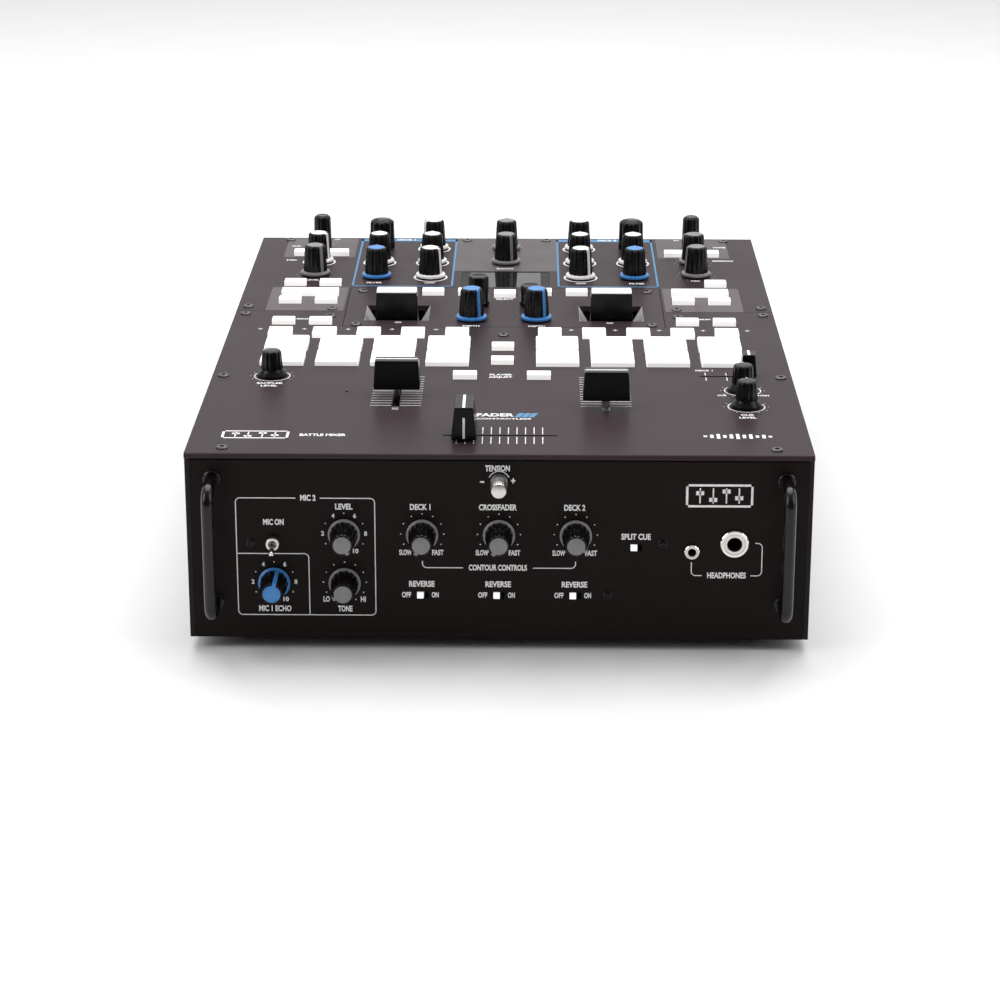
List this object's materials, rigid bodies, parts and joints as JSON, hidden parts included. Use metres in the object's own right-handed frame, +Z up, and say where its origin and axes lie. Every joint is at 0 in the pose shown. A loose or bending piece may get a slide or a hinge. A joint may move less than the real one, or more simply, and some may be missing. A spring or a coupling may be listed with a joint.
{
  "type": "dj mixer",
  "caption": "Black steel battle-style audio mixer with faders, knobs, white pads, effect paddles, front headphone jacks and panel handles.",
  "frame": {"origin": "on the surface it stands on, under the middle of its footprint with handles and rear connectors", "axes": "+X right, +Y from the front panel to the rear panel, +Z up"},
  "size_m": [0.267, 0.4066, 0.1083],
  "materials": {
    "case_paint": "fine textured black powder coat",
    "front_paint": "fine textured black powder coat",
    "plate_satin": "satin black",
    "handle_black": "semi-gloss black",
    "foot_rubber": "matte",
    "black_steel": "blackened",
    "window_plastic": "polished",
    "board_green": "solder mask",
    "supply_parts": "mixed",
    "pot_steel": "plated",
    "fader_steel": "plated",
    "socket_plastic": "moulded",
    "jack_chrome": "polished",
    "knurled_metal": "knurled",
    "lever_chrome": "polished",
    "switch_white": "moulded",
    "rocker_black": "moulded",
    "pad_white": "translucent white silicone",
    "button_white": "translucent white",
    "paddle_gloss": "satin black with a pale edge",
    "cap_black": "satin black",
    "knob_plain": "soft black",
    "knob_gloss": "glossy black",
    "knob_blue": "black grip, blue collar",
    "knob_white": "black grip, white collar",
    "knob_grey": "black grip, grey collar"
  },
  "bodies": {
    "mixer": {"chassis": "case_paint", "front_panel": "front_paint", "upper_faceplate": "plate_satin", "lower_faceplate": "plate_satin", "effects_plate": "plate_satin", "panel_handles": "handle_black", "feet": "foot_rubber", "panel_screws": "black_steel", "display_window": "window_plastic", "circuit_boards": "board_green", "power_supply": "supply_parts", "potentiometers": "pot_steel", "fader_bodies": "fader_steel", "rear_sockets": "socket_plastic", "headphone_jacks": "jack_chrome"},
    "aux_level_knob": {"aux_level_knob": "knob_plain"},
    "mic_level_knob": {"mic_level_knob": "knob_white"},
    "mic_effect_knob": {"mic_effect_knob": "knob_grey"},
    "session_tone_knob": {"session_tone_knob": "knob_plain"},
    "session_level_knob": {"session_level_knob": "knob_grey"},
    "session_mix_knob": {"session_mix_knob": "knob_grey"},
    "deck1_selector_knob": {"deck1_selector_knob": "knob_plain"},
    "deck1_gain_knob": {"deck1_gain_knob": "knob_white"},
    "deck1_filter_knob": {"deck1_filter_knob": "knob_blue"},
    "deck1_high_knob": {"deck1_high_knob": "knob_white"},
    "deck1_mid_knob": {"deck1_mid_knob": "knob_white"},
    "deck1_low_knob": {"deck1_low_knob": "knob_white"},
    "deck2_high_knob": {"deck2_high_knob": "knob_white"},
    "deck2_mid_knob": {"deck2_mid_knob": "knob_white"},
    "deck2_low_knob": {"deck2_low_knob": "knob_white"},
    "deck2_selector_knob": {"deck2_selector_knob": "knob_plain"},
    "deck2_gain_knob": {"deck2_gain_knob": "knob_white"},
    "deck2_filter_knob": {"deck2_filter_knob": "knob_blue"},
    "main_level_knob": {"main_level_knob": "knob_grey"},
    "booth_level_knob": {"booth_level_knob": "knob_grey"},
    "effect1_encoder_knob": {"effect1_encoder_knob": "knob_plain"},
    "effect2_encoder_knob": {"effect2_encoder_knob": "knob_plain"},
    "effect1_depth_knob": {"effect1_depth_knob": "knob_blue"},
    "effect2_depth_knob": {"effect2_depth_knob": "knob_blue"},
    "sampler_level_knob": {"sampler_level_knob": "knob_gloss"},
    "cue_mix_knob": {"cue_mix_knob": "knob_gloss"},
    "cue_level_knob": {"cue_level_knob": "knob_gloss"},
    "mic_echo_knob": {"mic_echo_knob": "knob_blue"},
    "mic2_level_knob": {"mic2_level_knob": "knob_grey"},
    "mic2_tone_knob": {"mic2_tone_knob": "knob_grey"},
    "deck1_contour_knob": {"deck1_contour_knob": "knob_grey"},
    "cross_contour_knob": {"cross_contour_knob": "knob_grey"},
    "deck2_contour_knob": {"deck2_contour_knob": "knob_grey"},
    "tension_knob": {"tension_knob": "knurled_metal"},
    "deck1_fader_cap": {"deck1_fader_cap": "cap_black"},
    "deck2_fader_cap": {"deck2_fader_cap": "cap_black"},
    "crossfader_cap": {"crossfader_cap": "cap_black"},
    "cue_slider_cap": {"cue_slider_cap": "cap_black"},
    "effect1_paddle": {"effect1_paddle": "paddle_gloss"},
    "effect2_paddle": {"effect2_paddle": "paddle_gloss"},
    "mic_toggle_lever": {"mic_toggle_lever": "lever_chrome"},
    "slide_switches": {"slide_switches": "switch_white"},
    "power_rocker": {"power_rocker": "rocker_black"},
    "performance_pads": {"performance_pads": "pad_white"},
    "push_buttons": {"push_buttons": "button_white"}
  },
  "joints": [
    {"name": "aux_level_turn", "type": "hinge", "parent": "mixer", "child": "aux_level_knob", "pos_m": [-0.0992, 0.17025, 0.0895], "axis": [0, 0, 1], "range_deg": [-150, 150]},
    {"name": "mic_level_turn", "type": "hinge", "parent": "mixer", "child": "mic_level_knob", "pos_m": [-0.0992, 0.14125, 0.0895], "axis": [0, 0, 1], "range_deg": [-30, 270]},
    {"name": "mic_effect_turn", "type": "hinge", "parent": "mixer", "child": "mic_effect_knob", "pos_m": [-0.0992, 0.11475, 0.0895], "axis": [0, 0, 1], "range_deg": [-10, 290]},
    {"name": "session_tone_turn", "type": "hinge", "parent": "mixer", "child": "session_tone_knob", "pos_m": [0.0992, 0.17025, 0.0895], "axis": [0, 0, 1], "range_deg": [-150, 150]},
    {"name": "session_level_turn", "type": "hinge", "parent": "mixer", "child": "session_level_knob", "pos_m": [0.0992, 0.14125, 0.0895], "axis": [0, 0, 1], "range_deg": [-245, 55]},
    {"name": "session_mix_turn", "type": "hinge", "parent": "mixer", "child": "session_mix_knob", "pos_m": [0.0992, 0.11475, 0.0895], "axis": [0, 0, 1], "range_deg": [-260, 40]},
    {"name": "deck1_selector_turn", "type": "hinge", "parent": "mixer", "child": "deck1_selector_knob", "pos_m": [-0.067, 0.17025, 0.0895], "axis": [0, 0, 1], "range_deg": [-60, 60]},
    {"name": "deck1_gain_turn", "type": "hinge", "parent": "mixer", "child": "deck1_gain_knob", "pos_m": [-0.067, 0.14025, 0.0895], "axis": [0, 0, 1], "range_deg": [-150, 150]},
    {"name": "deck1_filter_turn", "type": "hinge", "parent": "mixer", "child": "deck1_filter_knob", "pos_m": [-0.067, 0.11025, 0.0895], "axis": [0, 0, 1], "range_deg": [-150, 150]},
    {"name": "deck1_high_turn", "type": "hinge", "parent": "mixer", "child": "deck1_high_knob", "pos_m": [-0.039, 0.17025, 0.0895], "axis": [0, 0, 1], "range_deg": [-270, 30]},
    {"name": "deck1_mid_turn", "type": "hinge", "parent": "mixer", "child": "deck1_mid_knob", "pos_m": [-0.039, 0.14025, 0.0895], "axis": [0, 0, 1], "range_deg": [-150, 150]},
    {"name": "deck1_low_turn", "type": "hinge", "parent": "mixer", "child": "deck1_low_knob", "pos_m": [-0.039, 0.11025, 0.0895], "axis": [0, 0, 1], "range_deg": [-32, 268]},
    {"name": "deck2_high_turn", "type": "hinge", "parent": "mixer", "child": "deck2_high_knob", "pos_m": [0.039, 0.17025, 0.0895], "axis": [0, 0, 1], "range_deg": [-55, 245]},
    {"name": "deck2_mid_turn", "type": "hinge", "parent": "mixer", "child": "deck2_mid_knob", "pos_m": [0.039, 0.14025, 0.0895], "axis": [0, 0, 1], "range_deg": [-150, 150]},
    {"name": "deck2_low_turn", "type": "hinge", "parent": "mixer", "child": "deck2_low_knob", "pos_m": [0.039, 0.11025, 0.0895], "axis": [0, 0, 1], "range_deg": [-15, 285]},
    {"name": "deck2_selector_turn", "type": "hinge", "parent": "mixer", "child": "deck2_selector_knob", "pos_m": [0.067, 0.17025, 0.0895], "axis": [0, 0, 1], "range_deg": [-60, 60]},
    {"name": "deck2_gain_turn", "type": "hinge", "parent": "mixer", "child": "deck2_gain_knob", "pos_m": [0.067, 0.14025, 0.0895], "axis": [0, 0, 1], "range_deg": [-150, 150]},
    {"name": "deck2_filter_turn", "type": "hinge", "parent": "mixer", "child": "deck2_filter_knob", "pos_m": [0.067, 0.11025, 0.0895], "axis": [0, 0, 1], "range_deg": [-150, 150]},
    {"name": "main_level_turn", "type": "hinge", "parent": "mixer", "child": "main_level_knob", "pos_m": [0, 0.17025, 0.0895], "axis": [0, 0, 1], "range_deg": [-150, 150]},
    {"name": "booth_level_turn", "type": "hinge", "parent": "mixer", "child": "booth_level_knob", "pos_m": [0, 0.14025, 0.0895], "axis": [0, 0, 1], "range_deg": [0, 300]},
    {"name": "effect1_encoder_turn", "type": "hinge", "parent": "mixer", "child": "effect1_encoder_knob", "pos_m": [-0.013, 0.05475, 0.0895], "axis": [0, 0, 1], "continuous": true},
    {"name": "effect2_encoder_turn", "type": "hinge", "parent": "mixer", "child": "effect2_encoder_knob", "pos_m": [0.013, 0.05475, 0.0895], "axis": [0, 0, 1], "continuous": true},
    {"name": "effect1_depth_turn", "type": "hinge", "parent": "mixer", "child": "effect1_depth_knob", "pos_m": [-0.016, 0.02925, 0.0895], "axis": [0, 0, 1], "range_deg": [-10, 290]},
    {"name": "effect2_depth_turn", "type": "hinge", "parent": "mixer", "child": "effect2_depth_knob", "pos_m": [0.016, 0.02925, 0.0895], "axis": [0, 0, 1], "range_deg": [-10, 290]},
    {"name": "sampler_level_turn", "type": "hinge", "parent": "mixer", "child": "sampler_level_knob", "pos_m": [-0.1058, -0.06875, 0.0895], "axis": [0, 0, 1], "range_deg": [-150, 150]},
    {"name": "cue_mix_turn", "type": "hinge", "parent": "mixer", "child": "cue_mix_knob", "pos_m": [0.1093, -0.08875, 0.0895], "axis": [0, 0, 1], "range_deg": [-150, 150]},
    {"name": "cue_level_turn", "type": "hinge", "parent": "mixer", "child": "cue_level_knob", "pos_m": [0.1093, -0.11325, 0.0895], "axis": [0, 0, 1], "range_deg": [-150, 150]},
    {"name": "mic_echo_turn", "type": "hinge", "parent": "mixer", "child": "mic_echo_knob", "pos_m": [-0.0965, -0.18125, 0.031], "axis": [0, -1, 0], "range_deg": [-135, 165]},
    {"name": "mic2_level_turn", "type": "hinge", "parent": "mixer", "child": "mic2_level_knob", "pos_m": [-0.0662, -0.18125, 0.0532], "axis": [0, -1, 0], "range_deg": [0, 300]},
    {"name": "mic2_tone_turn", "type": "hinge", "parent": "mixer", "child": "mic2_tone_knob", "pos_m": [-0.0662, -0.18125, 0.031], "axis": [0, -1, 0], "range_deg": [-270, 30]},
    {"name": "deck1_contour_turn", "type": "hinge", "parent": "mixer", "child": "deck1_contour_knob", "pos_m": [-0.0328, -0.18125, 0.0532], "axis": [0, -1, 0], "range_deg": [-300, 0]},
    {"name": "cross_contour_turn", "type": "hinge", "parent": "mixer", "child": "cross_contour_knob", "pos_m": [0, -0.18125, 0.0532], "axis": [0, -1, 0], "range_deg": [-300, 0]},
    {"name": "deck2_contour_turn", "type": "hinge", "parent": "mixer", "child": "deck2_contour_knob", "pos_m": [0.0328, -0.18125, 0.0532], "axis": [0, -1, 0], "range_deg": [-30, 270]},
    {"name": "tension_turn", "type": "hinge", "parent": "mixer", "child": "tension_knob", "pos_m": [0, -0.18125, 0.077], "axis": [0, -1, 0], "range_deg": [-135, 135]},
    {"name": "deck1_fader_slide", "type": "slide", "parent": "mixer", "child": "deck1_fader_cap", "axis": [0, 1, 0], "range_m": [-0.0162, 0.0288]},
    {"name": "deck2_fader_slide", "type": "slide", "parent": "mixer", "child": "deck2_fader_cap", "axis": [0, 1, 0], "range_m": [0, 0.045]},
    {"name": "crossfader_slide", "type": "slide", "parent": "mixer", "child": "crossfader_cap", "axis": [1, 0, 0], "range_m": [-0.0072, 0.0378]},
    {"name": "cue_slider_slide", "type": "slide", "parent": "mixer", "child": "cue_slider_cap", "axis": [1, 0, 0], "range_m": [-0.02, 0]},
    {"name": "effect1_paddle_tilt", "type": "hinge", "parent": "mixer", "child": "effect1_paddle", "pos_m": [-0.053, 0.03625, 0.0825], "axis": [1, 0, 0], "range_deg": [-20, 20], "stiffness_Nm_per_rad": 0.06},
    {"name": "effect2_paddle_tilt", "type": "hinge", "parent": "mixer", "child": "effect2_paddle", "pos_m": [0.053, 0.03625, 0.0825], "axis": [1, 0, 0], "range_deg": [-20, 20], "stiffness_Nm_per_rad": 0.06},
    {"name": "mic_toggle_flip", "type": "hinge", "parent": "mixer", "child": "mic_toggle_lever", "pos_m": [-0.0967, -0.18275, 0.0492], "axis": [1, 0, 0], "range_deg": [-28, 0]},
    {"name": "slide_switches_throw", "type": "slide", "parent": "mixer", "child": "slide_switches", "axis": [1, 0, 0], "range_m": [0, 0.002]},
    {"name": "power_rocker_tip", "type": "hinge", "parent": "mixer", "child": "power_rocker", "pos_m": [-0.106, 0.19225, 0.0315], "axis": [1, 0, 0], "range_deg": [-20, 0]},
    {"name": "pads_press", "type": "slide", "parent": "mixer", "child": "performance_pads", "axis": [0, 0, -1], "range_m": [0, 0.0012], "stiffness_N_per_m": 3000, "springref_m": -0.0003},
    {"name": "buttons_press", "type": "slide", "parent": "mixer", "child": "push_buttons", "axis": [0, 0, -1], "range_m": [0, 0.0007], "stiffness_N_per_m": 1500, "springref_m": -0.0004}
  ]
}
